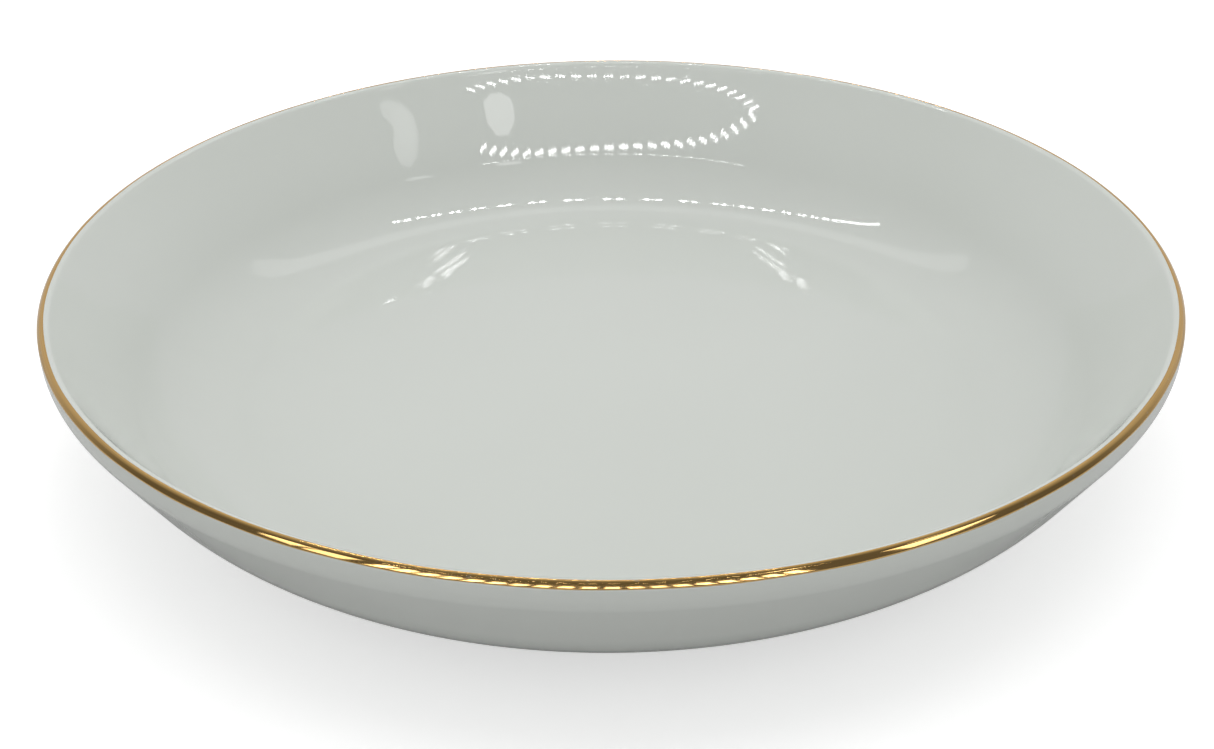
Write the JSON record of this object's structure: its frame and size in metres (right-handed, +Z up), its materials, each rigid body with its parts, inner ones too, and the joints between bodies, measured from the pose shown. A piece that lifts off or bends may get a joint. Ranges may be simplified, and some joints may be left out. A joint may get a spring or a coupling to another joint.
{
  "type": "porcelain serving bowl",
  "caption": "Shallow round coupe serving bowl in pale glazed porcelain with a fine gold line on the lip and a bare foot ring.",
  "frame": {"origin": "centre of the foot ring's bearing face, on the table", "axes": "+Z up along the bowl's axis of revolution, from the foot to the lip"},
  "size_m": [0.2304, 0.2304, 0.0402],
  "materials": {
    "bare_porcelain": "unglazed, polished bisque",
    "porcelain_glaze": "clear gloss glaze over pale grey-white porcelain",
    "fired_gold": "burnished bright gold, hand-banded"
  },
  "bodies": {
    "root": {"porcelain_body": "bare_porcelain", "foot_ring": "bare_porcelain", "inside_glaze": "porcelain_glaze", "outside_glaze": "porcelain_glaze", "base_glaze": "porcelain_glaze", "gold_rim_band": "fired_gold"}
  },
  "joints": []
}
